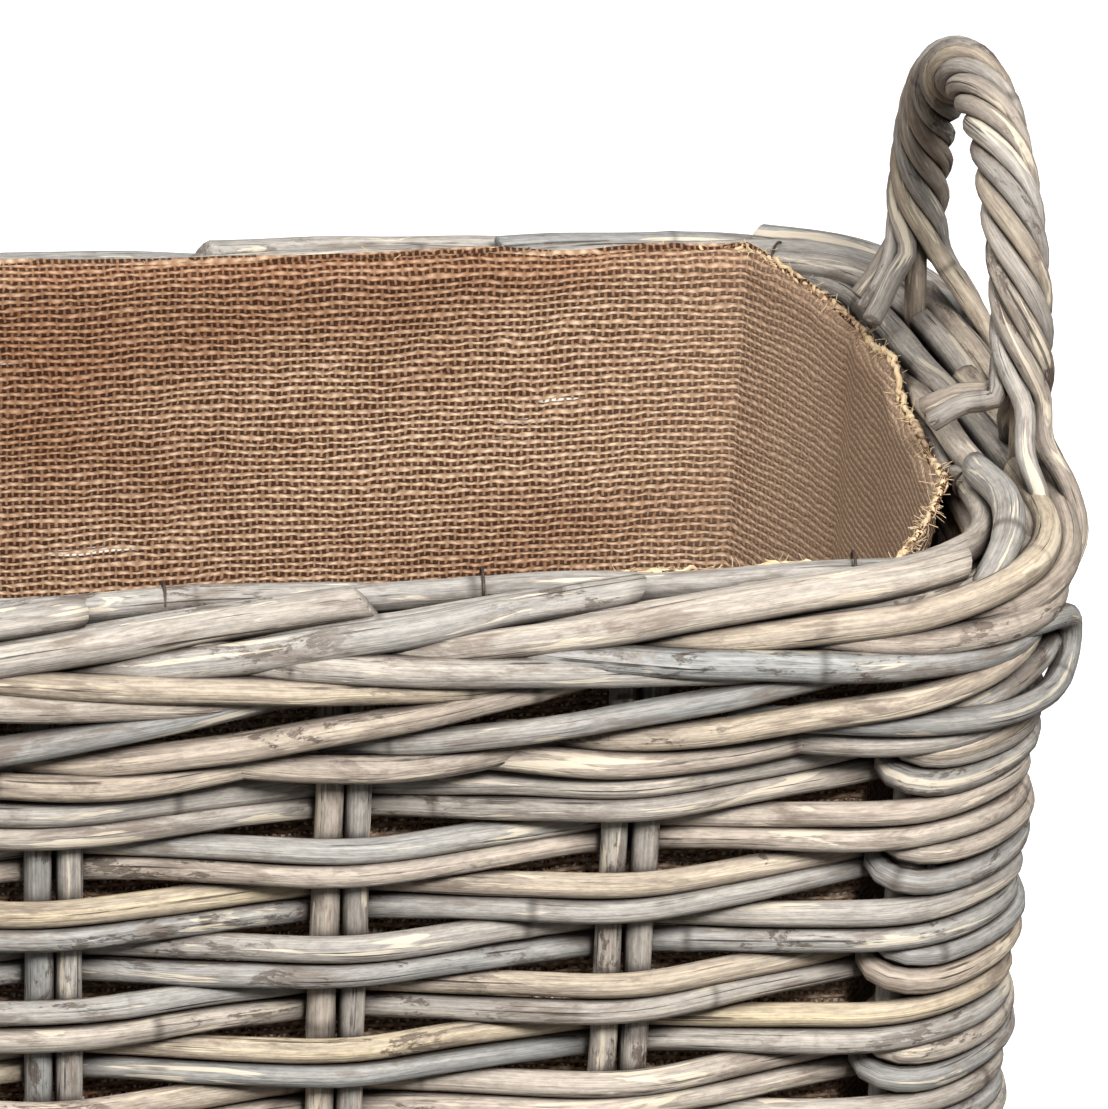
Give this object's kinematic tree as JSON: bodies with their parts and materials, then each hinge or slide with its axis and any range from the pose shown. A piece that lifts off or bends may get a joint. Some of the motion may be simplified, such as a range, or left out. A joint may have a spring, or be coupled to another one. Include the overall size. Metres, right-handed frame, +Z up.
{
  "type": "log basket",
  "caption": "Rectangular open-topped wicker log basket woven from grey-washed rattan, with a rolled border, twisted cane end handles and a hessian liner.",
  "frame": {"origin": "centre of the footprint, on the floor", "axes": "+X along the length towards one handle, +Y towards the back, +Z up; a half turn about Z leaves the design unchanged"},
  "size_m": [0.6168, 0.3378, 0.5615],
  "materials": {
    "weave_cane": "weathered grey-beige rattan, matte",
    "stake_cane": "weathered grey rattan, matte",
    "border_cane": "weathered grey-beige rattan, matte",
    "handle_cane": "weathered grey-brown rattan, matte",
    "hessian": "coarse plain jute weave",
    "tie_wire": "dark annealed wire"
  },
  "bodies": {
    "root": {"foot_border": "weave_cane", "base_hoop": "weave_cane", "base_sticks": "weave_cane", "base_weavers": "weave_cane", "bottom_wale": "weave_cane", "weave_row_01": "weave_cane", "weave_row_02": "weave_cane", "weave_row_03": "weave_cane", "weave_row_04": "weave_cane", "weave_row_05": "weave_cane", "weave_row_06": "weave_cane", "weave_row_07": "weave_cane", "weave_row_08": "weave_cane", "weave_row_09": "weave_cane", "weave_row_10": "weave_cane", "weave_row_11": "weave_cane", "weave_row_12": "weave_cane", "weave_row_13": "weave_cane", "weave_row_14": "weave_cane", "weave_row_15": "weave_cane", "weave_row_16": "weave_cane", "weave_row_17": "weave_cane", "weave_row_18": "weave_cane", "weave_row_19": "weave_cane", "weave_row_20": "weave_cane", "weave_row_21": "weave_cane", "weave_row_22": "weave_cane", "corner_post_front_left": "stake_cane", "corner_post_front_right": "stake_cane", "corner_post_back_right": "stake_cane", "corner_post_back_left": "stake_cane", "front_stakes": "stake_cane", "right_stakes": "stake_cane", "back_stakes": "stake_cane", "left_stakes": "stake_cane", "top_wale": "weave_cane", "border_core_hoops": "border_cane", "rim_wire_ties": "tie_wire", "front_border_rods": "border_cane", "right_border_rods": "border_cane", "back_border_rods": "border_cane", "left_border_rods": "border_cane", "left_handle_core": "handle_cane", "right_handle_core": "handle_cane", "left_handle_strand_1": "handle_cane", "left_handle_strand_2": "handle_cane", "left_handle_strand_3": "handle_cane", "left_handle_strand_4": "handle_cane", "left_handle_strand_5": "handle_cane", "left_handle_strand_6": "handle_cane", "right_handle_strand_1": "handle_cane", "right_handle_strand_2": "handle_cane", "right_handle_strand_3": "handle_cane", "right_handle_strand_4": "handle_cane", "right_handle_strand_5": "handle_cane", "right_handle_strand_6": "handle_cane", "liner_wall": "hessian", "liner_base": "hessian", "liner_hem": "hessian"}
  },
  "joints": []
}
